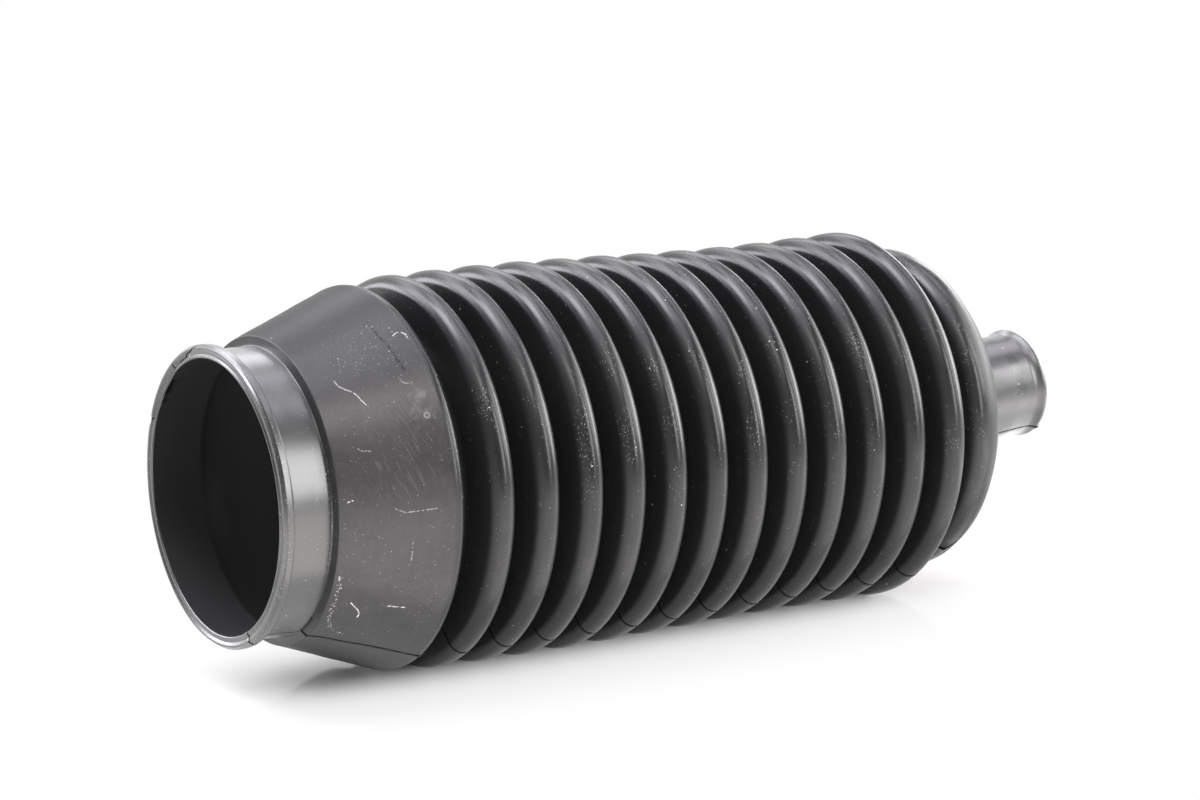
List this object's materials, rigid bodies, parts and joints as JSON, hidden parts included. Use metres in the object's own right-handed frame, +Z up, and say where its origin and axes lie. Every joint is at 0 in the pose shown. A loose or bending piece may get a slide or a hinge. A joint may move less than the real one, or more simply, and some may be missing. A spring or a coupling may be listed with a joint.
{
  "type": "steering rack boot",
  "caption": "Flexible bellows boot with a wide clamped mouth, a cone, ring folds and a narrow clamped neck that seals a steering rack at the tie rod.",
  "frame": {"origin": "centre of the footprint, on the surface that the boot lies on", "axes": "+X along the boot's axis from the wide mouth to the narrow neck, +Z up"},
  "size_m": [0.19, 0.075, 0.0747],
  "materials": {
    "boot_rubber": "satin"
  },
  "bodies": {
    "root": {"bellows_boot": "boot_rubber"}
  },
  "joints": []
}
